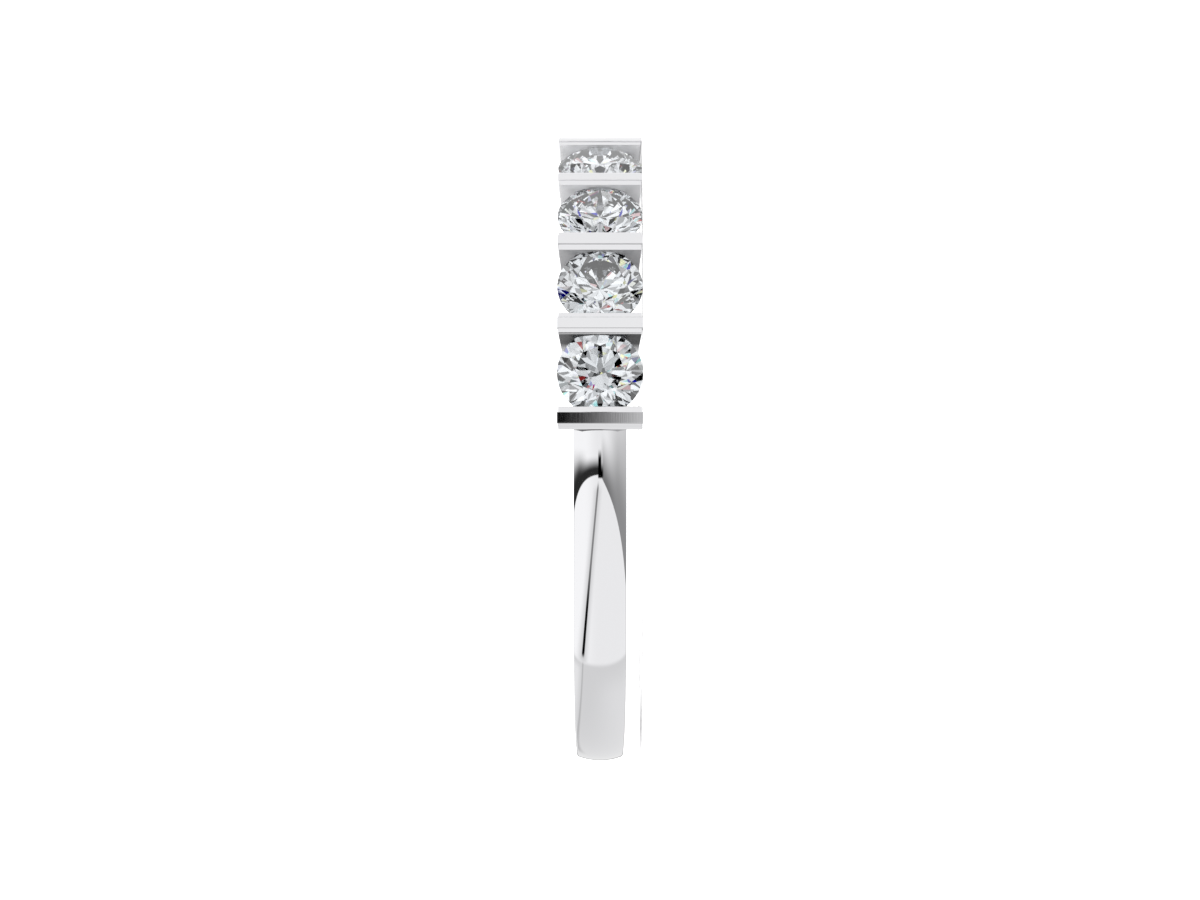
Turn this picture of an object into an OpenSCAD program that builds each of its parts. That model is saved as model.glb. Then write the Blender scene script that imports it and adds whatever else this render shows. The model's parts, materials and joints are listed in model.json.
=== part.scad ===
// Band with round stones held between upright bars, lying on its side.
// The finger hole runs along Z through the origin, and the middle of the head faces +Y.

/* [Finger hole] */
// Diameter of the finger hole
bore_d = 16.9; // [14:0.1:22]

/* [Shank] */
// Thickness of the shank from the finger hole to the top of its dome
shank_t = 1.65; // [1.4:0.05:2.2]
// Width of the shank along the finger
shank_w = 1.65; // [1.4:0.05:2.2]
// Height of the shank's dome across its full width
dome_rise = 0.18; // [0.05:0.01:0.3]
// Radius of the soft outer corners of the shank
corner_r = 0.22; // [0.1:0.01:0.3]
// Radius of the slight bow of the shank's sides
side_bow_r = 5; // [3:0.5:20]
// Radius of the rounded edges of the finger hole
inner_edge_r = 0.15; // [0.05:0.01:0.3]

/* [Head] */
// Number of stones
stone_count = 4; // [3:1:9]
// Height of the middle of the head above the shank
head_rise = 0.33; // [0.2:0.01:0.6]
// Fall of the head from its middle to its two end bars
head_drop = 0.03; // [0:0.01:0.25]
// Thickness of the base rail under the stones
rail_t = 0.45; // [0.3:0.05:0.8]
// Diameter of the hole drilled under each stone
drill_d = 0.9; // [0.5:0.05:1.2]

/* [Bars] */
// Length of a bar along the finger, at its outer face
bar_l = 2.65; // [2.2:0.05:3.2]
// Thickness of a bar along the band
bar_t = 0.71; // [0.6:0.01:1]
// Taper of each end of a bar from its outer face to the finger hole
bar_taper = 0.145; // [0:0.005:0.3]
// Lean of the two end bars' outer walls, from the outer face to the finger hole
end_lean = 0.19; // [0:0.005:0.2]
// Thickness of the raised flat core of a bar
core_t = 0.36; // [0.2:0.01:0.5]
// Height of the core above the cheeks beside it
core_rise = 0.035; // [0.01:0.005:0.08]
// Length by which the core passes the cheeks at each end
core_reach = 0.03; // [0.01:0.005:0.08]
// Fall of each sloping cheek from the core to the bar's wall
cheek_fall = 0.05; // [0:0.005:0.08]

/* [Stones] */
// Diameter of a stone at its girdle
stone_d = 2.65; // [2.3:0.05:2.9]
// Table diameter, corner to corner, as a share of the stone's diameter
table_share = 0.57; // [0.5:0.01:0.65]
// Slope of the main crown facets
crown_angle = 34.5; // [30:0.5:38]
// Slope of the main pavilion facets
pavilion_angle = 41; // [39:0.5:43]
// Thickness of the girdle as a share of the stone's diameter
girdle_share = 0.03; // [0.02:0.005:0.05]
// Reach of the star facets from the table towards the girdle
star_share = 0.5; // [0.4:0.01:0.6]
// Reach of the lower girdle facets from the girdle towards the point
lower_share = 0.77; // [0.65:0.01:0.85]
// Depth of the tables below the faces of the bars
table_drop = 0.06; // [0:0.01:0.15]
// Depth by which a girdle enters the bar wall on each side
girdle_bite = 0.235; // [0.15:0.005:0.25]
// Clear space between a stone and its seat
seat_gap = 0.03; // [0.02:0.005:0.05]

/* [Hidden] */

$fn = 96;
METAL = "Gainsboro";
STONE = "AliceBlue";

// Length by which a cutter or a blank passes the face that it cuts
OVER = 1;
// Points along each arc of the shank's section
ARC_POINTS = 8;
// A round brilliant has eight main facets on each side, with two girdle facets between each pair
MAINS = 8;
GIRDLE_FACETS = 2 * MAINS;
TIP_TURN = 180 / MAINS;
// Depth by which rounding the girdle takes off the ends of the main facets
ROUNDING = 0.004;
// Radius and height at which each side of a stone is closed, clear of the other side and the girdle,
// in stone radii
REACH = 1.1;
CLOSED_H = -2;

bore_r = bore_d / 2;
shank_r = bore_r + shank_t;
head_r = shank_r + head_rise;
rail_r = bore_r + rail_t;
half_w = shank_w / 2;

stone_r = stone_d / 2;
girdle_h = stone_d * girdle_share;
crown_h = stone_r * (1 - table_share) * tan(crown_angle);
pavilion_h = stone_r * tan(pavilion_angle);

// Half the angle between two bars: their walls would take the girdle of a stone on +Y between them
half_pitch = asin((stone_r - girdle_bite + bar_t / 2) / (head_r - table_drop - crown_h));
head_half_angle = half_pitch * stone_count;

// Fall of the head at a place counted in stones from its middle
function head_fall(place) = head_drop * pow(2 * place / stone_count, 2);
function bar_face_r(place) = head_r - head_fall(place);
function girdle_r(place) = bar_face_r(place) - table_drop - crown_h;

// Places of the bars and the stones, counted in stones from the middle of the head
bar_places = [for (i = [0:stone_count]) i - stone_count / 2];
function stone_place(number) = number - (stone_count + 1) / 2;

// Points on an arc, in the plane of the shank's section: distance from the finger's axis, then width
function arc(centre, radius, from, to) =
    [for (i = [0:ARC_POINTS])
        let (a = from + (to - from) * i / ARC_POINTS)
        centre + radius * [cos(a), sin(a)]];
function direction(from, to) = atan2(to[1] - from[1], to[0] - from[0]);
function flipped(points) = [for (i = [len(points) - 1:-1:0]) [points[i][0], -points[i][1]]];

// The outer of the two places that lie at given distances from two centres
function outer_meeting(a, reach_a, b, reach_b) =
    let (gap = norm(b - a))
    let (along = (gap * gap + reach_a * reach_a - reach_b * reach_b) / (2 * gap))
    let (aside = sqrt(reach_a * reach_a - along * along))
    let (u = (b - a) / gap)
    a + along * u + aside * [u[1], -u[0]];

// Court section: a dome and two bowed sides, joined by corner arcs that run smoothly into both
dome_r = (half_w * half_w + dome_rise * dome_rise) / (2 * dome_rise);
dome_centre = [shank_r - dome_r, 0];
bow_centre = [bore_r + inner_edge_r, half_w - side_bow_r];
corner_centre = outer_meeting(bow_centre, side_bow_r - corner_r, dome_centre, dome_r - corner_r);
dome_end = direction(dome_centre, corner_centre);
bow_end = direction(bow_centre, corner_centre);
inner_edge_centre = [bore_r + inner_edge_r, half_w - inner_edge_r];

function upper_half(outer_points) =
    concat(outer_points, arc(inner_edge_centre, inner_edge_r, 90, 180));
shank_upper = upper_half(concat(
    arc(dome_centre, dome_r, 0, dome_end),
    arc(corner_centre, corner_r, dome_end, bow_end),
    arc(bow_centre, side_bow_r, bow_end, 90)));
rail_upper = upper_half([[rail_r, half_w]]);

// One stretch of the hoop, turned about the finger's axis
module hoop_stretch(upper, start, angle) {
    rotate([0, 0, start])
        rotate_extrude(angle = angle)
            polygon(concat(upper, flipped(upper)));
}

// Turns what stands on +Y to its place along the head
module at_place(place) {
    rotate([0, 0, -2 * half_pitch * place])
        children();
}

// Outline of a bar seen along the band, from inside the finger hole to its outer face
module bar_side(face_r, half_l) {
    root_r = bore_r - OVER;
    lean = bar_taper / (face_r - bore_r);
    root_half_l = half_l - lean * (face_r - root_r);
    rotate([90, 0, 90])
        linear_extrude(height = bar_t, center = true)
            polygon([[root_r, -root_half_l], [face_r, -half_l], [face_r, half_l], [root_r, root_half_l]]);
}

// Outline of a bar seen along the finger: a flat top whose two edges slope down to upright walls, or
// to a leaning one on the outer side of an end bar
module bar_end(face_r, place) {
    top_r = face_r - core_rise;
    wall_r = top_r - cheek_fall;
    root_r = bore_r - OVER;
    lean = end_lean * (wall_r - root_r) / (wall_r - bore_r);
    root_left = place == bar_places[0] ? bar_t / 2 - lean : bar_t / 2;
    root_right = place == -bar_places[0] ? bar_t / 2 - lean : bar_t / 2;
    linear_extrude(height = 2 * bar_l, center = true)
        polygon([
            [-root_left, root_r],
            [root_right, root_r],
            [bar_t / 2, wall_r],
            [core_t / 2, top_r],
            [-core_t / 2, top_r],
            [-bar_t / 2, wall_r]]);
}

module bar(place) {
    face_r = bar_face_r(place);
    intersection() {
        bar_side(face_r, bar_l / 2 - core_reach);
        bar_end(face_r, place);
    }
    intersection() {
        bar_side(face_r, bar_l / 2);
        translate([-core_t / 2, face_r - bar_t, -bar_l])
            cube([core_t, bar_t, 2 * bar_l]);
    }
}

// Radii and heights of the points where a brilliant's facets meet, as shares of its radius
table_edge = table_share * cos(TIP_TURN);
star_tip = table_edge + star_share * (1 - table_edge);
star_tip_h = (1 - star_tip * cos(TIP_TURN)) * tan(crown_angle);
lower_tip = 1 - lower_share;
lower_tip_h = (1 - lower_tip * cos(TIP_TURN)) * tan(pavilion_angle);

function ring(count, turn, r, h) =
    [for (i = [0:count - 1])
        let (a = turn + 360 * i / count)
        [r * cos(a), r * sin(a), h]];

// Points of one side of a stone from its row of tips outwards and down to where it is closed
function side_points(tip_r, tip_h) = concat(
    ring(MAINS, TIP_TURN, tip_r, tip_h),
    ring(MAINS, 0, 1, 0),
    ring(GIRDLE_FACETS, 0, REACH, (1 - REACH) * tip_h / (1 - tip_r)),
    ring(GIRDLE_FACETS, 0, REACH, CLOSED_H));

// Faces of that side, with the first point of its tips given: girdle facets, walls and base
function side_faces(tips) =
    let (mains = tips + MAINS)
    let (outer = mains + MAINS)
    let (base = outer + GIRDLE_FACETS)
    concat(
        [for (k = [0:MAINS - 1])
            [mains + k, tips + k, outer + 2 * k + 1, outer + 2 * k]],
        [for (k = [0:MAINS - 1])
            let (last = (2 * k + GIRDLE_FACETS - 1) % GIRDLE_FACETS)
            [mains + k, outer + 2 * k, outer + last, before(tips, k)]],
        [for (j = [0:GIRDLE_FACETS - 1])
            let (next = (j + 1) % GIRDLE_FACETS)
            [outer + j, outer + next, base + next, base + j]],
        [[for (j = [0:GIRDLE_FACETS - 1]) base + j]]);
function before(row, k) = row + (k - 1 + MAINS) % MAINS;

crown_points = concat(
    ring(MAINS, 0, table_share, (1 - table_share) * tan(crown_angle)),
    side_points(star_tip, star_tip_h));
crown_faces = concat(
    [[for (k = [MAINS - 1:-1:0]) k]],
    [for (k = [0:MAINS - 1]) [k, (k + 1) % MAINS, MAINS + k]],
    [for (k = [0:MAINS - 1]) [k, MAINS + k, 2 * MAINS + k, before(MAINS, k)]],
    side_faces(MAINS));

pavilion_points = concat(
    [[0, 0, tan(pavilion_angle)]],
    side_points(lower_tip, lower_tip_h));
pavilion_faces = concat(
    [for (k = [0:MAINS - 1]) [0, 1 + k, 1 + MAINS + k, before(1, k)]],
    side_faces(1));

// Round brilliant with its table up, and the upper edge of its girdle at the origin's height
module brilliant() {
    facets_r = stone_r + ROUNDING;
    intersection() {
        scale(facets_r)
            polyhedron(crown_points, crown_faces);
        translate([0, 0, -girdle_h])
            mirror([0, 0, 1])
                scale(facets_r)
                    polyhedron(pavilion_points, pavilion_faces);
        cylinder(h = 2 * stone_d, r = stone_r, center = true);
    }
}

// Room for a stone and the clear space around it, as turned by a setting bur
module seat_room() {
    tip_r = star_tip * stone_r + seat_gap;
    table_r = table_share * stone_r + seat_gap;
    wide_r = stone_r + seat_gap;
    low_r = lower_tip * stone_r + seat_gap;
    rotate_extrude()
        polygon([
            [0, crown_h + OVER],
            [table_r, crown_h + OVER],
            [table_r, crown_h + seat_gap],
            [tip_r, star_tip_h * stone_r + seat_gap],
            [wide_r, seat_gap],
            [wide_r, -girdle_h - seat_gap],
            [low_r, -girdle_h - lower_tip_h * stone_r - seat_gap],
            [0, -girdle_h - pavilion_h - 2 * seat_gap]]);
}

// Puts what stands at a stone's own origin, table up, into the head
module at_stone(number) {
    at_place(stone_place(number))
        translate([0, girdle_r(stone_place(number)), 0])
            rotate([-90, 0, 0])
                children();
}

module bar_band() {
    color(METAL)
        difference() {
            union() {
                hoop_stretch(shank_upper, 90 + head_half_angle, 360 - 2 * head_half_angle);
                hoop_stretch(rail_upper, 90 - head_half_angle, 2 * head_half_angle);
                for (place = bar_places)
                    at_place(place)
                        bar(place);
            }
            cylinder(h = 2 * bar_l, r = bore_r, center = true);
            for (number = [1:stone_count])
                at_stone(number) {
                    seat_room();
                    translate([0, 0, -rail_r])
                        cylinder(h = rail_r, r = drill_d / 2);
                }
        }
}

module stone(number) {
    color(STONE)
        at_stone(number)
            brilliant();
}

bar_band();
for (number = [1:stone_count])
    stone(number);
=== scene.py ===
"""Looks of a band with round stones held between upright bars, lying on its side.

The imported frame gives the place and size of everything. The metal is modelled again here with a
smooth hoop, crisp bars and turned seats, and the stones are cut again with exact facets.
"""

import json
import logging
import math
from dataclasses import dataclass
from enum import Enum

import bmesh
import bpy
from bpy.types import ID, Material, Node, NodeOutputs, NodeSocket, NodeTree, Object
from mathutils import Matrix, Vector


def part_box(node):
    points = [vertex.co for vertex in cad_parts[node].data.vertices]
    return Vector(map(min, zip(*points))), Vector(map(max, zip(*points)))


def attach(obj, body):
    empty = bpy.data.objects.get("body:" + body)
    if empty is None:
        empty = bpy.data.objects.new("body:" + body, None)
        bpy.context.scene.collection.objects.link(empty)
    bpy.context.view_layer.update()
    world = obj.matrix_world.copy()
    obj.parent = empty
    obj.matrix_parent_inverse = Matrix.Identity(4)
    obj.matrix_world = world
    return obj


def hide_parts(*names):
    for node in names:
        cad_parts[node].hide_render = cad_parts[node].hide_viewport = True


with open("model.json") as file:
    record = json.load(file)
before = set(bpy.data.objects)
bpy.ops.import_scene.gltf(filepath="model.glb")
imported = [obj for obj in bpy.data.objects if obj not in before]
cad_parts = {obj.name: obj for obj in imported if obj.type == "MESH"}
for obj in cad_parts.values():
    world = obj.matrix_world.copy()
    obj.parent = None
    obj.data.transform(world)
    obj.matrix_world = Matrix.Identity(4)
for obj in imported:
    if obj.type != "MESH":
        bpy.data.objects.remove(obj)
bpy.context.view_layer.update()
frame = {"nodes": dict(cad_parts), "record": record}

LOG = logging.getLogger("bar_set_band")
MM = 0.001
BODY = "root"
MATHS = "ShaderNodeMath"
VECTORS = "ShaderNodeVectorMath"
MAP_RANGE = "ShaderNodeMapRange"
FINGER_AXIS = (0.0, 0.0, 1.0)

Point = tuple[float, float]
Triple = tuple[float, float, float]


class Slot(Enum):
    """Material slots that the record names."""

    METAL = "white_metal"
    STONE = "stone"


def linear(hex_colour: str) -> tuple[float, float, float, float]:
    """Turns an sRGB hex colour into the linear colour that shaders take, with an alpha of one."""
    shares = [int(hex_colour[i : i + 2], 16) / 255 for i in (1, 3, 5)]
    return (*[s / 12.92 if s <= 0.04045 else ((s + 0.055) / 1.055) ** 2.4 for s in shares], 1.0)


def add_node(
    tree: NodeTree, kind: str, feeds: dict | None = None, operation: str = "", **settings: object
) -> Node:
    """Adds a node with its settings and what feeds its inputs.

    Args:
        tree: Tree that takes the node.
        kind: Blender's name of the node's type.
        feeds: Value, output socket or node for each input, by its name or index. A node feeds an
            input with its first output.
        operation: What a maths node does with its inputs.
        **settings: Other properties of the node itself.

    Returns:
        The new node.
    """
    node = tree.nodes.new(kind)
    if operation:
        node.operation = operation
    for name, value in settings.items():
        setattr(node, name, value)
    for key, value in (feeds or {}).items():
        source = value.outputs[0] if isinstance(value, Node) else value
        if isinstance(source, NodeSocket):
            tree.links.new(source, node.inputs[key])
        else:
            node.inputs[key].default_value = source
    return node


def mapped(value: Node | NodeSocket, ends: Point, to: Point = (0.0, 1.0)) -> dict[str, object]:
    """Lists what feeds a node that takes a value from one range to another."""
    return {"Value": value, "From Min": ends[0], "From Max": ends[1], "To Min": to[0], "To Max": to[1]}


def new_material(name: str) -> tuple[Material, NodeTree]:
    """Makes a material whose tree is still empty.

    Args:
        name: Name of the material.

    Returns:
        The material and its tree.
    """
    made = bpy.data.materials.new(name)
    made.use_nodes = True
    made.node_tree.nodes.clear()
    return made, made.node_tree


def arc(centre: Point, radius: float, start: float, end: float, steps: int) -> list[Point]:
    """Gives points on an arc of the hoop's section.

    Args:
        centre: Centre of the arc, as distance from the finger's axis and width.
        radius: Radius of the arc.
        start: First angle in radians.
        end: Last angle in radians.
        steps: Number of steps along the arc.

    Returns:
        One point more than there are steps.
    """
    turns = [start + (end - start) * i / steps for i in range(steps + 1)]
    return [(centre[0] + radius * math.cos(a), centre[1] + radius * math.sin(a)) for a in turns]


def outer_meeting(a: Point, reach_a: float, b: Point, reach_b: float) -> Point:
    """Finds the outer of the two places that lie at given distances from two centres.

    Args:
        a: First centre.
        reach_a: Distance from the first centre.
        b: Second centre.
        reach_b: Distance from the second centre.

    Returns:
        The place on the outer side.
    """
    gap = math.dist(a, b)
    along = (gap**2 + reach_a**2 - reach_b**2) / (2 * gap)
    aside = math.sqrt(reach_a**2 - along**2)
    ux, uy = (b[0] - a[0]) / gap, (b[1] - a[1]) / gap
    return a[0] + along * ux + aside * uy, a[1] + along * uy - aside * ux


def direction(start: Point, end: Point) -> float:
    """Gives the angle of the line from one point to another, in radians."""
    return math.atan2(end[1] - start[1], end[0] - start[0])


def in_scene(name: str, data: ID) -> Object:
    """Makes an object of a mesh or a camera and puts it in the scene.

    Args:
        name: Name of the object.
        data: What the object shows.

    Returns:
        The object.
    """
    made = bpy.data.objects.new(name, data)
    bpy.context.scene.collection.objects.link(made)
    return made


def as_object(bm: bmesh.types.BMesh, name: str) -> Object:
    """Turns a mesh under construction into an object with its faces outwards.

    Args:
        bm: Mesh under construction, which is freed.
        name: Name of the object and its mesh.

    Returns:
        The object, in the scene.
    """
    bmesh.ops.recalc_face_normals(bm, faces=bm.faces)
    mesh = bpy.data.meshes.new(name)
    bm.to_mesh(mesh)
    bm.free()
    return in_scene(name, mesh)


def skin(name: str, rings: list[list[Triple]], closed: bool) -> Object:
    """Spans faces from ring to ring.

    Args:
        name: Name of the object.
        rings: Points of each ring. A ring that is one spot repeated closes the end.
        closed: Whether the last ring joins the first.

    Returns:
        The object, in the scene.
    """
    bm = bmesh.new()
    rows = [[bm.verts.new(spot) for spot in dict.fromkeys(ring)] for ring in rings]
    rows = [row * len(rings[0]) if len(row) == 1 else row for row in rows]
    for row, after in zip(rows, rows[1:] + rows[:1] if closed else rows[1:]):
        for i in range(len(row)):
            j = (i + 1) % len(row)
            bm.faces.new(list(dict.fromkeys((row[i], row[j], after[j], after[i]))))
    return as_object(bm, name)


@dataclass(frozen=True)
class BandSizes:
    """Sizes of the ring in millimetres and degrees, with the whole ones read from the frame.

    The head is the stretch that carries the stones. A bar's core is the raised flat between its
    two sloping cheeks, and its end lean is that of the last walls inside the head.
    """

    bore_r: float
    shank_r: float
    bar_l: float
    stone_count: int
    shank_w: float = 1.65
    dome_rise: float = 0.18
    corner_r: float = 0.1
    side_bow_r: float = 10.5
    inner_edge_r: float = 0.15
    head_rise: float = 0.33
    head_drop: float = 0.03
    rail_t: float = 0.45
    drill_d: float = 0.9
    bar_t: float = 0.71
    bar_taper: float = 0.145
    end_lean: float = 0.19
    core_t: float = 0.36
    core_rise: float = 0.035
    core_reach: float = 0.03
    cheek_fall: float = 0.05
    stone_d: float = 2.65
    mains: int = 8
    table_share: float = 0.57
    crown_angle: float = 34.5
    pavilion_angle: float = 41.0
    girdle_share: float = 0.03
    star_share: float = 0.5
    lower_share: float = 0.77
    # what the girdle's tips are blunted by
    rounding: float = 0.004
    table_drop: float = 0.06
    girdle_bite: float = 0.235
    seat_gap: float = 0.03

    @classmethod
    def from_frame(cls) -> "BandSizes":
        """Reads the finger hole, the hoop, the bars' length and the stones' number from the frame.

        Returns:
            The sizes.
        """
        low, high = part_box("bar_band")
        stones = [name for name in frame["nodes"] if name.startswith("stone_")]
        bore = next(m for m in frame["record"]["mounts"] if m["name"] == "finger_hole")
        return cls(
            bore_r=bore["dims"]["r_mm"],
            shank_r=round(-low.y / MM, 2),
            bar_l=round((high.z - low.z) / MM, 2),
            stone_count=len(stones),
        )

    @property
    def half_w(self) -> float:
        """Half the hoop's width."""
        return self.shank_w / 2

    @property
    def head_r(self) -> float:
        """Distance of the middle of the head from the finger's axis."""
        return self.shank_r + self.head_rise

    @property
    def head_h(self) -> float:
        """Height of the middle of the head above the finger hole's wall."""
        return self.head_r - self.bore_r

    @property
    def stone_r(self) -> float:
        """Radius of a stone at its girdle."""
        return self.stone_d / 2

    @property
    def crown_h(self) -> float:
        """Height of a stone's table above its girdle."""
        return self.stone_r * (1 - self.table_share) * math.tan(math.radians(self.crown_angle))

    @property
    def star_tip(self) -> Point:
        """Radius and height of the star facets' tips over the girdle, for a stone of radius one."""
        half_turn = math.cos(math.pi / self.mains)
        radius = self.table_share * half_turn
        radius += self.star_share * (1 - radius)
        return radius, (1 - radius * half_turn) * math.tan(math.radians(self.crown_angle))

    @property
    def girdle_r(self) -> float:
        """Distance of the middle stone's girdle from the finger's axis."""
        return self.head_r - self.table_drop - self.crown_h

    @property
    def half_pitch(self) -> float:
        """Half the angle between two bars, in radians."""
        return math.asin((self.stone_r - self.girdle_bite + self.bar_t / 2) / self.girdle_r)

    @property
    def head_half_angle(self) -> float:
        """Angle from the middle of the head to the middle of its end bars, in radians."""
        return self.half_pitch * self.stone_count


@dataclass(frozen=True)
class WhiteGold:
    """Rhodium plated white gold, mirror polished: cool, bright and almost without colour.

    A last pass with the mop leaves hairlines round the hoop, which only soften the edges of what
    the metal mirrors. The mop can't reach between the bars, so the walls beside the stones stay
    dull and partly matt. Their colour is also darkened with painted shade, deepest where their
    surroundings are close and towards one end of the head.
    """

    name: str = "white_gold_mirror_polished"
    colour: str = "#DDDDDF"
    roughness: Point = (0.015, 0.05)
    roughness_ends: Point = (0.1, 0.5)
    # real hairlines lie about 0.01 mm apart, too fine to show, so these are drawn coarser
    hairline_mm: float = 0.06
    hairline_stretch: float = 12.0
    hairline_detail: float = 2.0
    haze_mm: float = 1.5
    haze_detail: float = 3.0
    haze_roughness: float = 0.6
    bump: float = 0.004
    bump_mm: float = 0.01
    # painted shade: the colour that the walls are darkened towards
    wall_shade_colour: str = "#1C1C1E"
    wall_roughness: float = 0.3
    wall_metallic: float = 0.5
    # a wall's normal lies along the hoop, between the end bars, above the stones' culets
    wall_facing: Point = (0.8, 0.95)
    wall_end_soft: Point = (-0.008, 0.004)
    wall_depth_mm: float = 0.7
    wall_soft_mm: float = 0.3
    # the closer its surroundings, the duller a wall and the deeper its painted shade
    wall_room: Point = (1.0, 0.5)
    wall_share: float = 0.85
    room_mm: float = 0.9
    room_samples: int = 8
    # painted shade deepens across the head, towards one end, between these distances
    shade_across_mm: Point = (-1.8, 2.6)

    def material(self, seat_r: float, head_half_angle: float) -> Material:
        """Builds the metal's node material.

        Args:
            seat_r: Distance of the seats' upper edge from the finger's axis, in millimetres.
            head_half_angle: Angle from the middle of the head to its end bars, in radians.

        Returns:
            The material.
        """
        mat, tree = new_material(self.name)
        place = add_node(tree, "ShaderNodeTexCoord").outputs["Object"]
        feeds = {"Vector": place, "Scale": 1 / (self.haze_mm * MM), "Detail": self.haze_detail}
        haze = add_node(tree, "ShaderNodeTexNoise", {**feeds, "Roughness": self.haze_roughness})
        feeds = {"Vector": place, "Scale": (1.0, 1.0, self.hairline_stretch)}
        stretched = add_node(tree, "ShaderNodeMapping", feeds, vector_type="POINT")
        scale = 1 / (self.hairline_mm * self.hairline_stretch * MM)
        feeds = {"Vector": stretched, "Scale": scale, "Detail": self.hairline_detail}
        hairlines = add_node(tree, "ShaderNodeTexNoise", feeds)
        blend = add_node(tree, MATHS, {0: haze, 1: hairlines}, "MULTIPLY")
        polish = add_node(tree, MAP_RANGE, mapped(blend, self.roughness_ends, self.roughness))
        feeds = {"Height": hairlines, "Strength": self.bump, "Distance": self.bump_mm * MM}
        bump = add_node(tree, "ShaderNodeBump", feeds)
        wall, dark = self.walls(tree, place, seat_r, head_half_angle)
        # painted shade: the walls' colour is darkened by this mask towards the dark wall colour
        feeds = {0: dark, 6: linear(self.colour), 7: linear(self.wall_shade_colour)}
        colour = add_node(tree, "ShaderNodeMix", feeds, data_type="RGBA").outputs[2]
        feeds = {0: wall, 2: polish, 3: self.wall_roughness}
        rough = add_node(tree, "ShaderNodeMix", feeds, data_type="FLOAT")
        metal = add_node(tree, MAP_RANGE, mapped(wall, (0.0, 1.0), (1.0, self.wall_metallic)))
        feeds = {"Base Color": colour, "Metallic": metal, "Roughness": rough, "Normal": bump}
        shader = add_node(tree, "ShaderNodeBsdfPrincipled", feeds)
        add_node(tree, "ShaderNodeOutputMaterial", {"Surface": shader})
        return mat

    def walls(self, tree: NodeTree, place: NodeSocket, seat_r: float, end_turn: float) -> tuple[Node, Node]:
        """Finds the walls that face each other across the stones, above the seats.

        Args:
            tree: Tree of the material.
            place: Place on the metal.
            seat_r: Distance of the seats' upper edge from the finger's axis, in millimetres.
            end_turn: Angle from the middle of the head to its end bars, in radians.

        Returns:
            How far a place belongs to the dull walls, and how deep the painted shade on it is, both from
            zero to one.
        """
        flat = add_node(tree, VECTORS, {0: place, 1: (1.0, 1.0, 0.0)}, "MULTIPLY")
        height = add_node(tree, VECTORS, {0: flat}, "LENGTH").outputs["Value"]
        out = add_node(tree, VECTORS, {0: flat}, "NORMALIZE")
        across, along_head, _ = add_node(tree, "ShaderNodeSeparateXYZ", {0: out}).outputs
        round_hoop = add_node(tree, VECTORS, {0: out, 1: FINGER_AXIS}, "CROSS_PRODUCT")
        normal = add_node(tree, "ShaderNodeNewGeometry").outputs["Normal"]
        facing = add_node(tree, VECTORS, {0: normal, 1: round_hoop}, "DOT_PRODUCT")
        facing = add_node(tree, MATHS, {0: facing.outputs["Value"]}, "ABSOLUTE")
        # ambient occlusion: closer surroundings make a wall duller and its painted shade deeper
        feeds = {"Distance": self.room_mm * MM}
        room = add_node(tree, "ShaderNodeAmbientOcclusion", feeds, samples=self.room_samples)
        end, foot, soft = math.cos(end_turn), seat_r - self.wall_depth_mm, self.wall_soft_mm
        wall: float | Node = 1.0
        for value, ends, to in (
            (facing, self.wall_facing, (0.0, 1.0)),
            (along_head, (end + self.wall_end_soft[0], end + self.wall_end_soft[1]), (0.0, 1.0)),
            (height, ((foot - soft) * MM, (foot + soft) * MM), (0.0, 1.0)),
            (room.outputs["AO"], self.wall_room, (self.wall_share, 1.0)),
        ):
            share = add_node(tree, MAP_RANGE, mapped(value, ends, to))
            wall = add_node(tree, MATHS, {0: wall, 1: share}, "MULTIPLY")
        # painted shade, deeper towards one end of the head
        share = add_node(tree, MAP_RANGE, mapped(across, tuple(x / seat_r for x in self.shade_across_mm)))
        return wall, add_node(tree, MATHS, {0: wall, 1: share}, "MULTIPLY")


@dataclass(frozen=True)
class Diamond:
    """Colourless diamond, cut and polished: sharp facets that swap white, grey and black."""

    name: str = "diamond_polished"
    colour: str = "#FDFEFF"
    roughness: float = 0.0
    ior: float = 2.417

    def material(self) -> Material:
        """Builds the stone's node material.

        Returns:
            The material.
        """
        mat, tree = new_material(self.name)
        feeds = {"Color": linear(self.colour), "Roughness": self.roughness, "IOR": self.ior}
        shader = add_node(tree, "ShaderNodeBsdfGlass", feeds)
        add_node(tree, "ShaderNodeOutputMaterial", {"Surface": shader})
        return mat


@dataclass(frozen=True)
class BrutedGirdle(Diamond):
    """The stones' ground edge: the same diamond, left matt and whitish by the bruting wheel."""

    name: str = "diamond_bruted"
    colour: str = "#FFFFFF"
    roughness: float = 0.35


@dataclass(frozen=True)
class Paper:
    """Matt white studio paper under the ring, which scatters the light evenly."""

    name: str = "studio_paper"
    colour: str = "#F4F4F4"

    def material(self) -> Material:
        """Builds the floor's material.

        Returns:
            The material.
        """
        mat, tree = new_material(self.name)
        shader = add_node(tree, "ShaderNodeBsdfDiffuse", {"Color": linear(self.colour)})
        add_node(tree, "ShaderNodeOutputMaterial", {"Surface": shader})
        return mat


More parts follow.
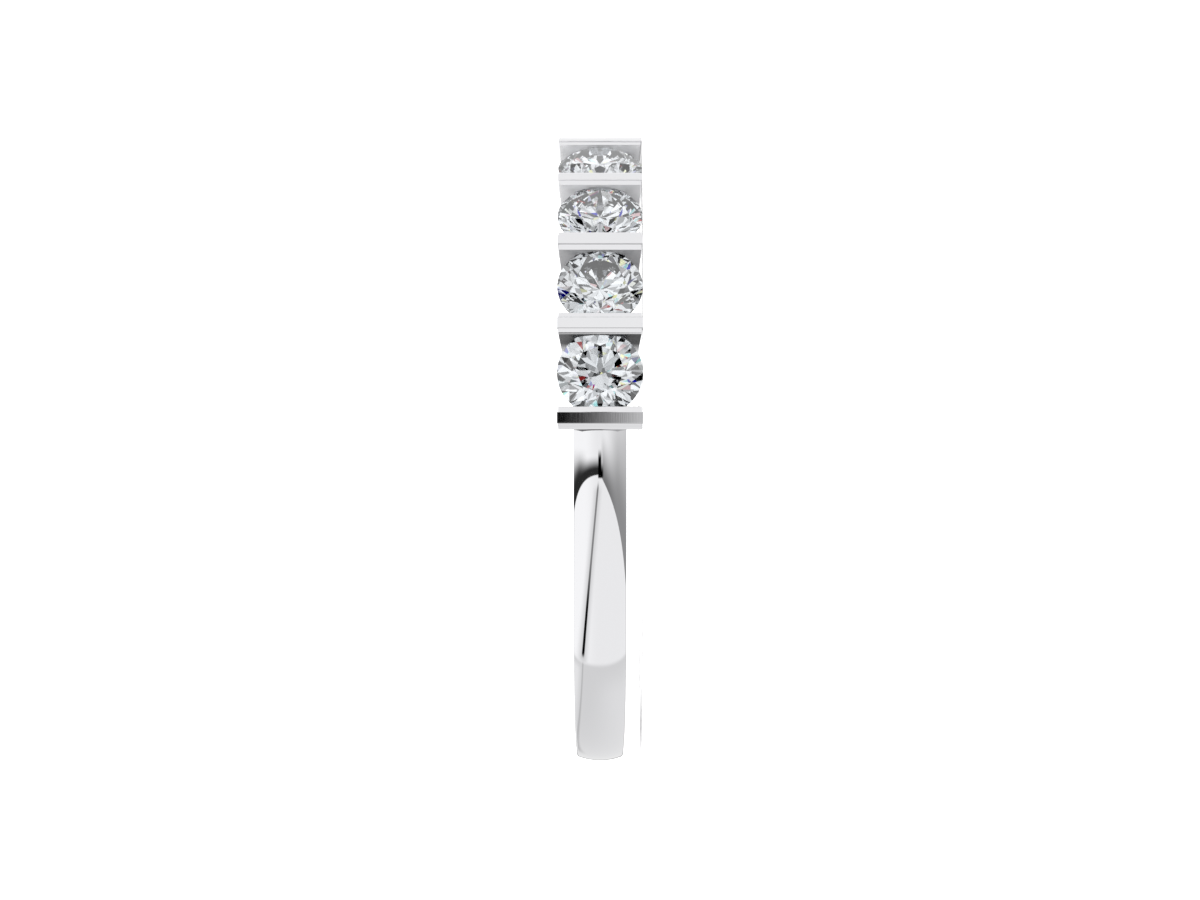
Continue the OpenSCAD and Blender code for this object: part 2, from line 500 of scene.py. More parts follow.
class Metalwork:
    """The soldered metal: hoop, rail, bars and the seats turned into them."""

    ALONG_STEPS = 360
    DOME_STEPS = 20
    CORNER_STEPS = 16
    SIDE_STEPS = 8
    BORE_STEPS = 4
    LATHE_STEPS = 128
    EDGE_CHAMFER = 0.012
    SHARP_DEGREES = 20.0
    # how abruptly the shank ends at the head
    END_DEGREES = 0.02
    # the shank's section beside the head, which passes into the plain one between these angles
    FRONT_CORNER = 0.08
    FRONT_RISE = 0.42
    FRONT_BOW_R = 60.0
    FRONT_TURNS = (math.radians(75.0), math.radians(125.0))
    # how far a seat's cutter stands out over the table and into the finger hole
    CUT_OVER = 1.0
    CUT_UNDER = 0.5

    def __init__(self, sizes: BandSizes, finish: WhiteGold) -> None:
        """Keeps the ring's sizes and the metal's finish."""
        self.sizes = sizes
        self.finish = finish

    def section(self, turn: float) -> list[Point]:
        """Gives the court section's outline, from the dome round the finger hole and back.

        Args:
            turn: Angle from the middle of the head. The dome is fuller near the head.

        Returns:
            Distance from the finger's axis and width for each point.
        """
        s = self.sizes
        share = (abs(turn) - self.FRONT_TURNS[0]) / (self.FRONT_TURNS[1] - self.FRONT_TURNS[0])
        share = min(max(share, 0.0), 1.0)
        share = share * share * (3 - 2 * share)
        corner_r = self.FRONT_CORNER + (s.corner_r - self.FRONT_CORNER) * share
        rise = self.FRONT_RISE + (s.dome_rise - self.FRONT_RISE) * share
        dome_r = (s.half_w**2 + rise**2) / (2 * rise)
        dome = (s.shank_r - dome_r, 0.0)
        bow_r = 1 / ((1 - share) / self.FRONT_BOW_R + share / s.side_bow_r)
        bow = (s.bore_r + s.inner_edge_r, s.half_w - bow_r)
        corner = outer_meeting(bow, bow_r - corner_r, dome, dome_r - corner_r)
        edge = (s.bore_r + s.inner_edge_r, s.half_w - s.inner_edge_r)
        dome_end, bow_end = direction(dome, corner), direction(bow, corner)
        upper = (
            arc(dome, dome_r, 0, dome_end, self.DOME_STEPS)
            + arc(corner, corner_r, dome_end, bow_end, self.CORNER_STEPS)[1:]
            + arc(bow, bow_r, bow_end, math.pi / 2, self.SIDE_STEPS)[1:]
            + arc(edge, s.inner_edge_r, math.pi / 2, math.pi, self.SIDE_STEPS)[1:]
        )
        shares = [1 - k / self.BORE_STEPS for k in range(1, 2 * self.BORE_STEPS)]
        across = [(s.bore_r, upper[-1][1] * share) for share in shares]
        return upper + across + [(r, -z) for r, z in reversed(upper[1:])]

    def hoop(self) -> Object:
        """Sweeps the section round the finger, cut down to the rail along the head.

        Returns:
            The hoop, in the scene.
        """
        s = self.sizes
        rail_r = s.bore_r + s.rail_t
        step = 2 * math.pi / self.ALONG_STEPS
        joint = s.head_half_angle
        turns = [-math.pi + step * i for i in range(self.ALONG_STEPS)]
        turns = [a for a in turns if abs(abs(a) - joint) > step / 2]
        hair = math.radians(self.END_DEGREES)
        turns = sorted(turns + [side * joint + away * hair for side in (-1, 1) for away in (-1, 1)])
        rings = []
        for a in turns:
            limit = rail_r if abs(a) < joint else math.inf
            ring = [(min(r, limit), z) for r, z in self.section(a)]
            rings.append([(r * math.sin(a) * MM, r * math.cos(a) * MM, z * MM) for r, z in ring])
        return skin("hoop", rings, True)

    def block(self, bm: bmesh.types.BMesh, outline: list[Point], half_l: float) -> None:
        """Adds one chamfered block of a bar, standing on the finger hole at the origin.

        Args:
            bm: Mesh that takes the block.
            outline: Outline seen along the finger: width along the band, then height.
            half_l: Half the block's length at the bar's outer face.
        """
        face_h = self.sizes.head_h
        lean = self.sizes.bar_taper / face_h
        rows = [
            [bm.verts.new((x * MM, y * MM, side * (half_l - lean * (face_h - y)) * MM)) for x, y in outline]
            for side in (-1, 1)
        ]
        faces = [bm.faces.new(rows[0]), bm.faces.new(list(reversed(rows[1])))]
        for i in range(len(outline)):
            j = (i + 1) % len(outline)
            faces.append(bm.faces.new((rows[0][j], rows[0][i], rows[1][i], rows[1][j])))
        edges = list({edge for face in faces for edge in face.edges})
        bmesh.ops.bevel(
            bm,
            geom=edges,
            offset=self.EDGE_CHAMFER * MM,
            offset_type="OFFSET",
            segments=1,
            profile=0.5,
            affect="EDGES",
        )

    def bar_blank(self, name: str, lean: float) -> Object:
        """Models one bar of the middle of the head, with its foot at the origin.

        Args:
            name: Name of the blank.
            lean: Distance by which the wall on +X leans in at the foot.

        Returns:
            The blank, in the scene.
        """
        s = self.sizes
        face_h = s.head_h
        half_t, half_core = s.bar_t / 2, s.core_t / 2
        foot = s.bore_r - math.sqrt(s.bore_r**2 - half_t**2)
        cheek_h = face_h - s.core_rise
        cheeks = [
            (-half_t, foot),
            (half_t - lean, foot),
            (half_t, cheek_h - s.cheek_fall),
            (half_core, cheek_h),
            (-half_core, cheek_h),
            (-half_t, cheek_h - s.cheek_fall),
        ]
        core_h = face_h - s.bar_t
        core = [(-half_core, core_h), (half_core, core_h), (half_core, face_h), (-half_core, face_h)]
        bm = bmesh.new()
        self.block(bm, cheeks, s.bar_l / 2 - s.core_reach)
        self.block(bm, core, s.bar_l / 2)
        return as_object(bm, name)

    def seat_cutter(self) -> Object:
        """Turns the room of a stone and its drilled hole, with the girdle's upper edge at the origin.

        Returns:
            The cutter, in the scene.
        """
        s = self.sizes
        stone_r, gap, drill_r = s.stone_r, s.seat_gap, s.drill_d / 2
        pavilion = math.tan(math.radians(s.pavilion_angle))
        star_r, star_h = s.star_tip
        table_r, girdle_low = s.table_share * stone_r + gap, -s.stone_d * s.girdle_share - gap
        top, bottom = s.crown_h + self.CUT_OVER, s.bore_r - s.girdle_r - self.CUT_UNDER
        profile = [
            (0.0, top),
            (table_r, top),
            (table_r, s.crown_h + gap),
            (star_r * stone_r + gap, star_h * stone_r + gap),
            (stone_r + gap, gap),
            (stone_r + gap, girdle_low),
            (drill_r, girdle_low - (stone_r + gap - drill_r) * pavilion),
            (drill_r, bottom),
            (0.0, bottom),
        ]
        turns = [2 * math.pi * i / self.LATHE_STEPS for i in range(self.LATHE_STEPS)]
        rings = [[(r * math.cos(a) * MM, h * MM, r * math.sin(a) * MM) for a in turns] for r, h in profile]
        return skin("seat_cutter", rings, False)

    def along_head(
        self, tree: NodeTree, given: NodeOutputs, thing: str, count: NodeSocket | Node, radius: str
    ) -> Node:
        """Sets copies of a thing along the head, each lowered by the head's fall at its place.

        Args:
            tree: Tree of the head.
            given: The tree's inputs.
            thing: Input that gives the thing.
            count: Number of copies.
            radius: Input that gives their distance from the finger's axis.

        Returns:
            The last node, which gives the copies as one mesh.
        """
        index = add_node(tree, "GeometryNodeInputIndex")
        last = add_node(tree, MATHS, {0: count, 1: 1.0}, "SUBTRACT")
        place = add_node(tree, MATHS, {0: last, 1: -0.5, 2: index}, "MULTIPLY_ADD")
        twice = add_node(tree, MATHS, {0: place, 1: 2.0}, "MULTIPLY")
        share = add_node(tree, MATHS, {0: twice, 1: given["Stone Count"]}, "DIVIDE")
        square = add_node(tree, MATHS, {0: share, 1: share}, "MULTIPLY")
        fall = add_node(tree, MATHS, {0: square, 1: given["Head Drop"]}, "MULTIPLY")
        turn = add_node(tree, MATHS, {0: place, 1: given["Pitch"]}, "MULTIPLY")
        reach, height = given[radius], 1.0
        if thing == "Bar":
            # a bar stands on the finger hole, so it is lowered by its height
            loss = add_node(tree, MATHS, {0: fall, 1: given["Head Height"]}, "DIVIDE")
            height = add_node(tree, MATHS, {0: 1.0, 1: loss}, "SUBTRACT")
        else:
            reach = add_node(tree, MATHS, {0: reach, 1: fall}, "SUBTRACT")
        out = add_node(tree, "ShaderNodeCombineXYZ", {1: reach})
        feeds = {"Vector": out, "Axis": FINGER_AXIS, "Angle": turn}
        at = add_node(tree, "ShaderNodeVectorRotate", feeds, rotation_type="AXIS_ANGLE")
        row = add_node(tree, "GeometryNodeMeshLine", {"Count": count, "Offset": (0.0, 0.0, 0.0)})
        points = add_node(tree, "GeometryNodeSetPosition", {"Geometry": row, "Position": at})
        spin = add_node(tree, "FunctionNodeAxisAngleToRotation", {"Axis": FINGER_AXIS, "Angle": turn})
        scale = add_node(tree, "ShaderNodeCombineXYZ", {0: 1.0, 1: height, 2: 1.0})
        shown = add_node(tree, "GeometryNodeObjectInfo", {"Object": given[thing]}).outputs["Geometry"]
        feeds = {"Points": points, "Instance": shown, "Rotation": spin, "Scale": scale}
        copies = add_node(tree, "GeometryNodeInstanceOnPoints", feeds)
        return add_node(tree, "GeometryNodeRealizeInstances", {0: copies})

    def end_bars(self, tree: NodeTree, given: NodeOutputs) -> list[Node]:
        """Sets the two end bars, one of them turned so that its leaning wall faces the stones.

        Args:
            tree: Tree of the head.
            given: The tree's inputs.

        Returns:
            A node for each end bar, which gives its mesh.
        """
        bar = add_node(tree, "GeometryNodeObjectInfo", {"Object": given["End Bar"]}).outputs["Geometry"]
        half_count = add_node(tree, MATHS, {0: given["Stone Count"], 1: 2.0}, "DIVIDE")
        end_turn = add_node(tree, MATHS, {0: half_count, 1: given["Pitch"]}, "MULTIPLY")
        feeds = {0: given["Head Drop"], 1: given["Head Height"]}
        loss = add_node(tree, MATHS, feeds, "DIVIDE")
        height = add_node(tree, MATHS, {0: 1.0, 1: loss}, "SUBTRACT")
        scale = add_node(tree, "ShaderNodeCombineXYZ", {0: 1.0, 1: height, 2: 1.0})
        foot = add_node(tree, "ShaderNodeCombineXYZ", {1: given["Foot Radius"]})
        bars = []
        for side, half_turn in ((1.0, 0.0), (-1.0, math.pi)):
            turn = add_node(tree, MATHS, {0: end_turn, 1: side}, "MULTIPLY")
            feeds = {"Vector": foot, "Axis": FINGER_AXIS, "Angle": turn}
            place = add_node(tree, "ShaderNodeVectorRotate", feeds, rotation_type="AXIS_ANGLE")
            spin = add_node(tree, "ShaderNodeCombineXYZ", {1: half_turn, 2: turn})
            feeds = {"Geometry": bar, "Translation": place, "Rotation": spin, "Scale": scale}
            bars.append(add_node(tree, "GeometryNodeTransform", feeds))
        return bars

    def head_tree(self) -> NodeTree:
        """Builds the tree that sets the bars along the head and cuts a seat for each stone.

        Returns:
            The tree.
        """
        tree = bpy.data.node_groups.new("bars_and_seats", "GeometryNodeTree")
        for name, kind in (
            ("Hoop", "Geometry"),
            ("Bar", "Object"),
            ("End Bar", "Object"),
            ("Seat Cutter", "Object"),
            ("Stone Count", "Int"),
            ("Pitch", "Float"),
            ("Foot Radius", "Float"),
            ("Head Height", "Float"),
            ("Head Drop", "Float"),
            ("Girdle Radius", "Float"),
            ("Metal", "Material"),
        ):
            tree.interface.new_socket(name, in_out="INPUT", socket_type="NodeSocket" + kind)
        tree.interface.new_socket("Band", in_out="OUTPUT", socket_type="NodeSocketGeometry")
        given = add_node(tree, "NodeGroupInput").outputs
        count = given["Stone Count"]
        between = add_node(tree, MATHS, {0: count, 1: 1.0}, "SUBTRACT")
        bars = [self.along_head(tree, given, "Bar", between, "Foot Radius"), *self.end_bars(tree, given)]
        seats = self.along_head(tree, given, "Seat Cutter", count, "Girdle Radius")
        boolean = "GeometryNodeMeshBoolean"
        feeds = {"Self Intersection": True}
        solid = add_node(tree, boolean, feeds, "UNION", solver="EXACT")
        for piece in (given["Hoop"], *(bar.outputs[0] for bar in bars)):
            tree.links.new(piece, solid.inputs["Mesh 2"])
        feeds = {"Mesh 1": solid, "Mesh 2": seats}
        cut = add_node(tree, boolean, feeds, "DIFFERENCE", solver="EXACT")
        whole = add_node(tree, "GeometryNodeRealizeInstances", {0: cut})
        feeds = {"Geometry": whole, "Material": given["Metal"]}
        dressed = add_node(tree, "GeometryNodeSetMaterial", feeds)
        add_node(tree, "NodeGroupOutput", {0: dressed})
        return tree

    def build(self) -> Object:
        """Makes the whole metal as one plain mesh that stands for the frame's own.

        Returns:
            The metal, in the scene.
        """
        s = self.sizes
        hoop, cutter = self.hoop(), self.seat_cutter()
        bar, end_bar = self.bar_blank("bar", 0.0), self.bar_blank("end_bar", s.end_lean)
        tree = self.head_tree()
        modifier = hoop.modifiers.new("bars and seats", "NODES")
        modifier.node_group = tree
        inputs = {
            "Bar": bar,
            "End Bar": end_bar,
            "Seat Cutter": cutter,
            "Stone Count": s.stone_count,
            # negative, as places count clockwise when seen against the finger's direction
            "Pitch": -2 * s.half_pitch,
            "Foot Radius": s.bore_r * MM,
            "Head Height": s.head_h * MM,
            "Head Drop": s.head_drop * MM,
            "Girdle Radius": s.girdle_r * MM,
            "Metal": self.finish.material(s.girdle_r, s.head_half_angle),
        }
        for item in tree.interface.items_tree:
            if item.item_type == "SOCKET" and item.in_out == "INPUT" and item.name in inputs:
                modifier[item.identifier] = inputs[item.name]
        hoop.update_tag()
        shown = hoop.evaluated_get(bpy.context.evaluated_depsgraph_get())
        mesh = bpy.data.meshes.new_from_object(shown)
        mesh.name = "band_metal"
        for part in (hoop, bar, end_bar, cutter):
            bpy.data.objects.remove(part)
        # curved faces are smooth, and every real edge stays sharp
        mesh.polygons.foreach_set("use_smooth", [True] * len(mesh.polygons))
        mesh.set_sharp_from_angle(angle=math.radians(self.SHARP_DEGREES))
        band = in_scene("band_metal", mesh)
        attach(band, BODY)
        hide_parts("bar_band")
        return band


class StoneRow:
    """The round brilliants, cut facet by facet from a round blank and set along the head."""

    GIRDLE_STEPS = 96
    # the blank's height, and how close cuts and corners meet, for a stone of radius one
    BLANK_H = 4.0
    CUT_TOLERANCE = 1e-6
    MERGE_REACH = 1e-5

    def __init__(self, sizes: BandSizes, polished: Diamond, bruted: Diamond) -> None:
        """Keeps the sizes and the finishes.

        Args:
            sizes: Sizes of the ring.
            polished: Finish of the facets.
            bruted: Finish of the girdle.
        """
        self.sizes = sizes
        self.polished = polished
        self.bruted = bruted

    def side_planes(self, angle: float, tips: Point, inner: float) -> list[tuple[Vector, Vector]]:
        """Gives the facets of one side as planes, for a stone of radius one with its girdle at zero.

        Args:
            angle: Slope of the main facets in degrees.
            tips: Radius and height of the tips between the main facets.
            inner: Radius where the star facets start, or zero on a side without them.

        Returns:
            A point and an outward normal for each facet.
        """
        slope = math.tan(math.radians(angle))
        turn = math.pi / self.sizes.mains

        def spot(r: float, h: float, step: int) -> Vector:
            """Gives a point of the side, counted in half mains round the stone."""
            return Vector((r * math.cos(step * turn), r * math.sin(step * turn), h))

        planes = []
        table_h = (1 - inner) * slope
        for k in range(0, 2 * self.sizes.mains, 2):
            rim = spot(1.0, 0.0, k)
            planes.append((rim, Vector((slope * rim.x, slope * rim.y, 1.0)).normalized()))
            corners = [(rim, spot(*tips, k + side), spot(1.0, 0.0, k + side)) for side in (-1, 1)]
            if inner:
                corners.append((spot(*tips, k + 1), spot(inner, table_h, k), spot(inner, table_h, k + 2)))
            for point, first, last in corners:
                normal = (first - point).cross(last - point).normalized()
                planes.append((point, normal if normal.z > 0 else -normal))
        return planes

    def brilliant(self) -> Object:
        """Cuts one stone with its table towards +Y and the girdle's upper edge at the origin.

        Returns:
            The stone, in the scene.
        """
        s = self.sizes
        crown, pavilion = (math.tan(math.radians(a)) for a in (s.crown_angle, s.pavilion_angle))
        lower_tip = 1 - s.lower_share
        lower_h = (1 - lower_tip * math.cos(math.pi / s.mains)) * pavilion
        girdle_h = s.girdle_share * 2
        top = self.side_planes(s.crown_angle, s.star_tip, s.table_share)
        top.append((Vector((0, 0, (1 - s.table_share) * crown)), Vector((0, 0, 1))))
        low = self.side_planes(s.pavilion_angle, (lower_tip, lower_h), 0.0)
        down = [(Vector((p.x, p.y, -p.z - girdle_h)), Vector((n.x, n.y, -n.z))) for p, n in low]
        bm = bmesh.new()
        blank_r = 1.0 - s.rounding / s.stone_r
        bmesh.ops.create_cone(
            bm,
            cap_ends=True,
            segments=self.GIRDLE_STEPS,
            radius1=blank_r,
            radius2=blank_r,
            depth=self.BLANK_H,
        )
        for face in bm.faces:
            face.material_index = 1
        for point, normal in top + down:
            cut = bmesh.ops.bisect_plane(
                bm,
                geom=[*bm.verts, *bm.edges, *bm.faces],
                dist=self.CUT_TOLERANCE,
                plane_co=point,
                plane_no=normal,
                clear_outer=True,
            )
            rim = [item for item in cut["geom_cut"] if isinstance(item, bmesh.types.BMEdge)]
            for face in bmesh.ops.holes_fill(bm, edges=rim)["faces"]:
                face.material_index = 0
        bmesh.ops.remove_doubles(bm, verts=bm.verts, dist=self.MERGE_REACH)
        bmesh.ops.scale(bm, vec=Vector((1, 1, 1)) * (s.stone_r + s.rounding) * MM, verts=bm.verts)
        bmesh.ops.rotate(bm, matrix=Matrix.Rotation(-math.pi / 2, 3, "X"), verts=bm.verts)
        return as_object(bm, "brilliant")

    def build(self) -> list[Object]:
        """Sets a stone at each place of the head, as a piece of its own.

        Returns:
            The stones, in the scene.
        """
        s = self.sizes
        blank = self.brilliant()
        finishes = [self.polished.material(), self.bruted.material()]
        stones = []
        for number in range(1, s.stone_count + 1):
            place = number - (s.stone_count + 1) / 2
            fall = s.head_drop * (2 * place / s.stone_count) ** 2
            mesh = blank.data.copy()
            mesh.name = f"brilliant_{number}"
            seat = Matrix.Translation((0, (s.girdle_r - fall) * MM, 0))
            mesh.transform(Matrix.Rotation(-2 * s.half_pitch * place, 4, "Z") @ seat)
            mesh.materials.clear()
            for finish in finishes:
                mesh.materials.append(finish)
            stone = in_scene(mesh.name, mesh)
            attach(stone, BODY)
            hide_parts(f"stone_{number}")
            stones.append(stone)
        bpy.data.objects.remove(blank)
        return stones


class Gauge(Enum):
    """Ways to measure a direction of the studio, each in degrees.

    Along turns in the hoop's plane, from 0 at the camera to 90 at the picture's top, and is twice
    the angle of the direction half-way to the camera, so that a card's edge lies straight across
    the hoop. Across is the height over the floor. Rise is the height over the dark skirting that
    runs round the studio behind the picture's top. Seam and far seam are the distances from the
    slanting joints in the lower panels, in front of the ring and behind it.
    """

    ALONG = "along"
    ACROSS = "across"
    RISE = "rise"
    SEAM = "seam"
    FAR_SEAM = "far seam"


@dataclass(frozen=True)
class Span:
    """A range on one gauge: its ends, then the width of the soft edge at either end."""

    gauge: Gauge
    low: float
    high: float
    soft_low: float = 1.0
    soft_high: float = 1.0


@dataclass(frozen=True)
class Card:
    """A panel of the studio: how bright it is and where it hangs."""

    light: float
    spans: tuple[Span, ...]


ALONG, ACROSS, RISE, SEAM, FAR_SEAM = Gauge
METAL_CARDS = (
    # lower panels behind the ring, a shade greyer than the ones in front
    Card(0.86, (Span(ALONG, -200.0, -86.0, 1.0, 3.0), Span(RISE, -90.0, 0.0))),
    # their floor's side, which is a little lighter
    Card(0.97, (Span(ALONG, -200.0, -95.0, 1.0, 20.0), Span(ACROSS, -91.0, -5.0, 1.0, 60.0))),
    # their open side beyond the joint, lighter again
    Card(1.05, (Span(ALONG, -154.0, -89.0, 12.0, 5.0), Span(FAR_SEAM, -60.0, -7.0, 1.0, 14.0))),
    # the joint between them, which goes on from the fine line down the shank
    Card(
        0.6,
        (
            Span(ALONG, -154.0, -86.0, 12.0, 3.0),
            Span(FAR_SEAM, -1.2, 1.2, 3.0, 3.0),
            Span(ACROSS, 4.0, 60.0, 6.0, 16.0),
        ),
    ),
    # stronger light on the open side
    Card(1.26, (Span(ALONG, -86.0, 60.0, 3.0, 40.0), Span(ACROSS, 30.0, 91.0, 50.0))),
    # shade on either side of the joint of the lower panels
    Card(0.88, (Span(SEAM, -8.0, 8.0, 14.0, 14.0), Span(ALONG, -86.0, -14.0, 3.0, 4.0))),
    # the skirting, a long grey slope on the floor's side and a black band on the open side
    Card(0.24, (Span(RISE, -0.3, 9.0, 0.5, 18.0), Span(ACROSS, -91.0, -7.0, 1.0, 12.0))),
    Card(0.36, (Span(RISE, -0.3, 20.0, 0.5, 40.0), Span(ACROSS, -91.0, -45.0, 1.0, 50.0))),
    Card(0.03, (Span(RISE, -0.3, 4.3, 0.5, 5.0), Span(ACROSS, -7.0, 91.0, 12.0))),
    Card(0.03, (Span(RISE, -0.3, 5.8, 0.5, 7.5), Span(ACROSS, 60.0, 120.0, 40.0))),
    # the joint itself: the fine line down the shank, grey at first and black below
    Card(
        0.3,
        (Span(SEAM, -2.2, 2.2, 1.6, 1.6), Span(ALONG, -83.0, -13.0, 3.0, 4.0), Span(ACROSS, 1.0, 60.0)),
    ),
    Card(
        0.0,
        (Span(SEAM, -2.6, 2.6, 1.6, 1.6), Span(ALONG, -83.0, -50.0, 3.0, 24.0), Span(ACROSS, 1.0, 60.0)),
    ),
    # the camera's dark stand: the spike at the top of the shank
    Card(0.0, (Span(ALONG, -10.3, -1.5, 1.0, 4.0), Span(ACROSS, -4.5, 6.0, 4.0, 4.0))),
    Card(0.0, (Span(ALONG, -10.3, -6.5, 1.0, 4.0), Span(ACROSS, -11.0, 6.0, 6.0, 4.0))),
    # shaded card in the flat face of the first bar
    Card(0.0, (Span(ALONG, 8.5, 15.0), Span(ACROSS, -0.34, 16.0, 1.53))),
)


@dataclass(frozen=True)
class Studio:
    """Pale floor, soft white surroundings and the camera, placed from the photo's angle.

    The seams' axes are given by their shares towards the camera, up the picture and up from the
    floor. The stones' lamps lie in cells of about a twelfth of the view, and near the crest, over
    the head of the ring, none is dark, so that no table mirrors black.
    """

    sizes: BandSizes
    cards: tuple[Card, ...] = METAL_CARDS
    head_tilt: float = 51.4
    distance_mm: float = 174.0
    lens_mm: float = 160.6
    sensor_mm: float = 36.0
    aim_up_mm: float = -0.03
    clip_m: Point = (0.001, 10.0)
    floor_mm: float = 1500.0
    sky_light: float = 2.0
    panel_light: float = 1.12
    skirting_drop: float = 0.155
    skirting_dip: float = 0.19
    seam_axis: Triple = (-0.065, -0.655, -0.753)
    far_seam_axis: Triple = (0.182, -0.67, -0.72)
    gem_cells: float = 12.0
    gem_shift: Triple = (4.8, -15.4, 34.5)
    gem_fringe: float = 0.004
    gem_fire: float = 0.48
    gem_light: float = 1.15
    gem_spread: Point = (0.15, 0.6)
    gem_levels: Point = (0.75, 1.1)
    gem_crest_along: float = 120.0
    gem_crest_light: float = 1.3
    gem_crest_ends: Point = (0.4, 0.85)

    @property
    def towards(self) -> Vector:
        """Direction from the ring to the camera."""
        e = math.radians(self.head_tilt)
        return Vector((math.cos(e), math.sin(e), 0.0))

    @property
    def up(self) -> Vector:
        """Direction that is up in the picture."""
        e = math.radians(self.head_tilt)
        return Vector((-math.sin(e), math.cos(e), 0.0))

    def camera(self) -> None:
        """Sets the camera level with the middle of the ring and turned on its side."""
        data = bpy.data.cameras.new("camera")
        data.lens, data.sensor_width = self.lens_mm, self.sensor_mm
        data.clip_start, data.clip_end = self.clip_m
        camera = in_scene("camera", data)
        right = self.up.cross(self.towards)
        turn = Matrix((right, self.up, self.towards)).transposed().to_4x4()
        place = self.towards * self.distance_mm * MM + self.up * self.aim_up_mm * MM
        camera.matrix_world = Matrix.Translation(place) @ turn
        bpy.context.scene.camera = camera

    def floor(self) -> None:
        """Lays the paper under the bars' ends, out of sight of the polished surfaces.

        The ring mirrors the panels on its floor side too, as it does in the photo.
        """
        half, height = self.floor_mm / 2 * MM, -self.sizes.bar_l / 2 * MM
        mesh = bpy.data.meshes.new("floor")
        corners = [(x * half, y * half, height) for x, y in ((-1, -1), (1, -1), (1, 1), (-1, 1))]
        mesh.from_pydata(corners, [], [(0, 1, 2, 3)])
        mesh.materials.append(Paper().material())
        floor = in_scene("floor", mesh)
        floor.visible_glossy = False
        floor.visible_transmission = False

    def gauges(self, tree: NodeTree, ray: NodeSocket) -> dict[Gauge, Node]:
        """Measures the direction of a ray on every gauge.

        Args:
            tree: Tree of the surroundings.
            ray: Direction of the ray.

        Returns:
            A node for each gauge, which gives the measure in degrees.
        """
        sky = Vector(FINGER_AXIS)
        axes = [self.towards, self.up, sky]
        for t, u, z in (self.seam_axis, self.far_seam_axis):
            axes.append((self.towards * t + self.up * u + sky * z).normalized())
        shares = []
        for axis in axes:
            share = add_node(tree, VECTORS, {0: ray, 1: axis}, "DOT_PRODUCT")
            shares.append(share.outputs["Value"])
        towards, up, *slopes = shares
        across, seam, far_seam = (add_node(tree, MATHS, {0: s}, "ARCSINE") for s in slopes)
        nearness = add_node(tree, MATHS, {0: towards, 1: 1.0}, "ADD")
        half_along = add_node(tree, MATHS, {0: up, 1: nearness}, "ARCTAN2")
        along = add_node(tree, MATHS, {0: half_along, 1: 2.0}, "MULTIPLY")
        below = add_node(tree, MATHS, {0: slopes[0], 1: 0.0}, "MINIMUM")
        dip = add_node(tree, MATHS, {0: below, 1: self.skirting_dip}, "MULTIPLY")
        rise = add_node(tree, MATHS, {0: up, 1: self.skirting_drop}, "ADD")
        rise = add_node(tree, MATHS, {0: rise, 1: dip}, "SUBTRACT")
        measures = zip(Gauge, (along, across, rise, seam, far_seam))
        return {g: add_node(tree, MATHS, {0: angle}, "DEGREES") for g, angle in measures}

    def within(self, tree: NodeTree, value: Node, span: Span) -> Node:
        """Adds nodes that give one inside a span and zero outside.

        Args:
            tree: Tree of the surroundings.
            value: Measure on the span's gauge.
            span: The span with its soft ends.

        Returns:
            The last node, which gives the share from zero to one.
        """
        shares = []
        for edge, soft, to in (
            (span.low, span.soft_low, (0.0, 1.0)),
            (span.high, span.soft_high, (1.0, 0.0)),
        ):
            feeds = mapped(value, (edge - soft / 2, edge + soft / 2), to)
            shares.append(add_node(tree, MAP_RANGE, feeds, interpolation_type="SMOOTHSTEP"))
        return add_node(tree, MATHS, dict(enumerate(shares)), "MULTIPLY")

    def panels(self, tree: NodeTree, ray: NodeSocket) -> Node:
        """Builds what the metal mirrors: white panels with the cards over them.

        Args:
            tree: Tree of the surroundings.
            ray: Direction of the ray.

        Returns:
            The last node, which gives the brightness.
        """
        gauges = self.gauges(tree, ray)
        light: float | Node = self.panel_light
        for card in self.cards:
            mask: float | Node = 1.0
            for span in card.spans:
                share = self.within(tree, gauges[span.gauge], span)
                mask = add_node(tree, MATHS, {0: mask, 1: share}, "MULTIPLY")
            feeds = {0: mask, 2: light, 3: card.light}
            light = add_node(tree, "ShaderNodeMix", feeds, data_type="FLOAT")
        return light

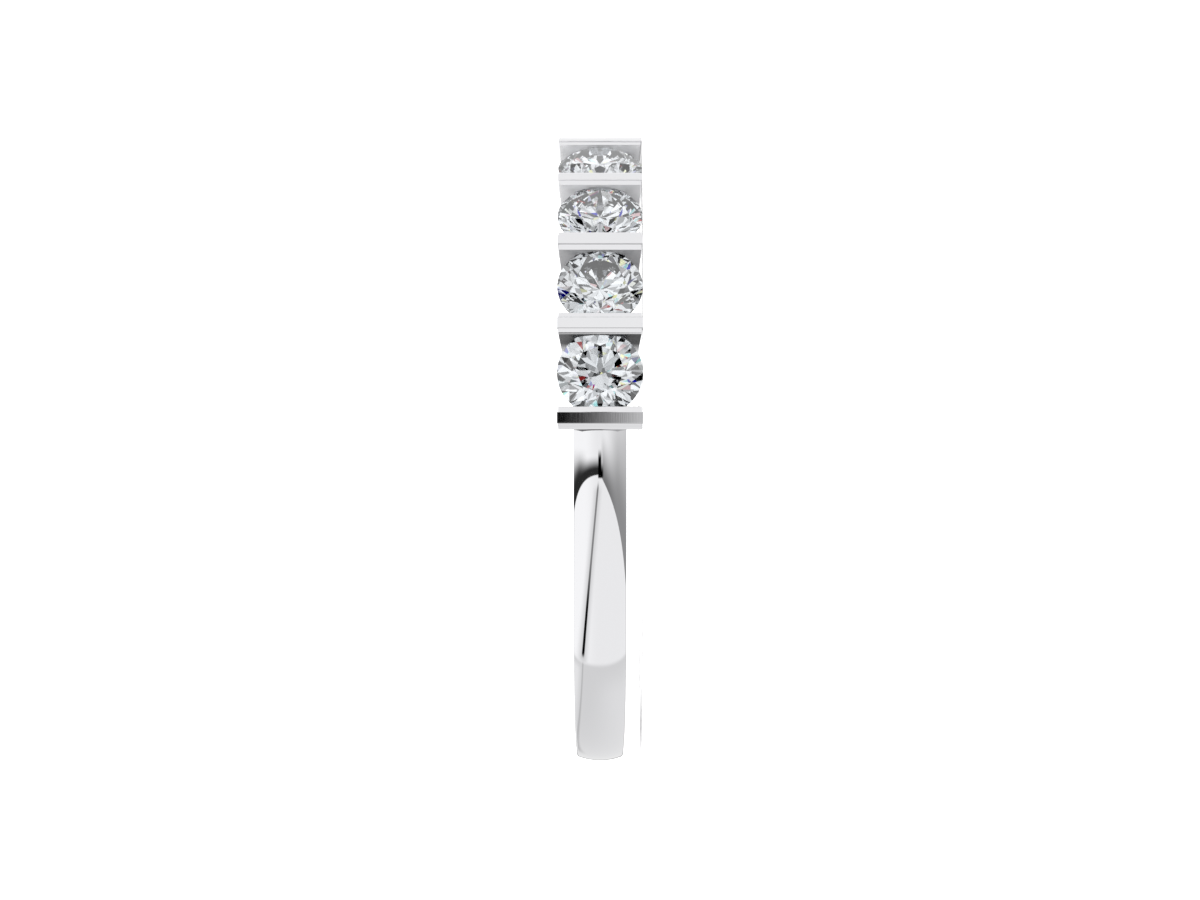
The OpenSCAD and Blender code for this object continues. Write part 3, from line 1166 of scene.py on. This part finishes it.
    def sparkle(self, tree: NodeTree, ray: NodeSocket) -> NodeSocket:
        """Builds what the stones show: lamps and dark gaps in irregular cells.

        Each colour takes its cells a little larger than the one before, as a cut stone spreads
        light, so that the cells' edges turn up as fire.

        Args:
            tree: Tree of the surroundings.
            ray: Direction of the ray.

        Returns:
            The colour as a socket.
        """
        turn = math.radians(self.gem_crest_along)
        crest = self.towards * math.cos(turn) + self.up * math.sin(turn)
        near = add_node(tree, VECTORS, {0: ray, 1: crest}, "DOT_PRODUCT").outputs["Value"]
        feeds = mapped(near, self.gem_crest_ends, (0.0, self.gem_crest_light))
        least = add_node(tree, MAP_RANGE, feeds)
        colours = []
        for order in (-1, 0, 1):
            scale = (self.gem_cells * (1 + order * self.gem_fringe),) * 3
            feeds = {0: ray, 1: scale, 2: self.gem_shift}
            spot = add_node(tree, VECTORS, feeds, "MULTIPLY_ADD")
            cells = add_node(tree, "ShaderNodeTexVoronoi", {"Vector": spot, "Scale": 1.0})
            picks = add_node(tree, "ShaderNodeSeparateColor", {0: cells.outputs["Color"]}).outputs
            lamp = add_node(tree, MAP_RANGE, mapped(picks[0], self.gem_spread, (0.0, self.gem_light)))
            lamp = add_node(tree, MATHS, {0: lamp, 1: least}, "MAXIMUM")
            level = add_node(tree, MAP_RANGE, mapped(picks[1], (0.0, 1.0), self.gem_levels))
            colours.append(add_node(tree, MATHS, {0: lamp, 1: level}, "MULTIPLY"))
        split = add_node(tree, "ShaderNodeCombineColor", dict(enumerate(colours)))
        plain = add_node(tree, "ShaderNodeCombineColor", dict.fromkeys(range(3), colours[1]))
        feeds = {0: self.gem_fire, 6: plain, 7: split}
        return add_node(tree, "ShaderNodeMix", feeds, data_type="RGBA").outputs[2]

    def sky(self) -> None:
        """Builds the surroundings: white to the camera, panels to the metal, lamps to the stones."""
        world = bpy.data.worlds.new("studio")
        world.use_nodes = True
        tree = world.node_tree
        tree.nodes.clear()
        ray = add_node(tree, "ShaderNodeTexCoord").outputs["Generated"]
        path = add_node(tree, "ShaderNodeLightPath").outputs
        panels = self.panels(tree, ray)
        seen: Node | NodeSocket = add_node(tree, "ShaderNodeCombineColor", dict.fromkeys(range(3), panels))
        plain = (self.sky_light, self.sky_light, self.sky_light, 1.0)
        for kind, light in (
            ("Is Singular Ray", self.sparkle(tree, ray)),
            ("Is Diffuse Ray", plain),
            ("Is Camera Ray", plain),
        ):
            feeds = {0: path[kind], 6: seen, 7: light}
            seen = add_node(tree, "ShaderNodeMix", feeds, data_type="RGBA").outputs[2]
        background = add_node(tree, "ShaderNodeBackground", {"Color": seen, "Strength": 1.0})
        add_node(tree, "ShaderNodeOutputWorld", {"Surface": background})
        bpy.context.scene.world = world


def main() -> None:
    """Builds the ring's parts and the studio."""
    logging.basicConfig(level=logging.INFO, format="%(message)s")
    sizes = BandSizes.from_frame()
    studio = Studio(sizes)
    studio.camera()
    studio.floor()
    studio.sky()
    bpy.context.scene.view_settings.view_transform = "Standard"
    band = Metalwork(sizes, WhiteGold()).build()
    LOG.info("%s: %d faces", band.name, len(band.data.polygons))
    for stone in StoneRow(sizes, Diamond(), BrutedGirdle()).build():
        LOG.info("%s: %d faces", stone.name, len(stone.data.polygons))


if __name__ == "__main__":
    main()
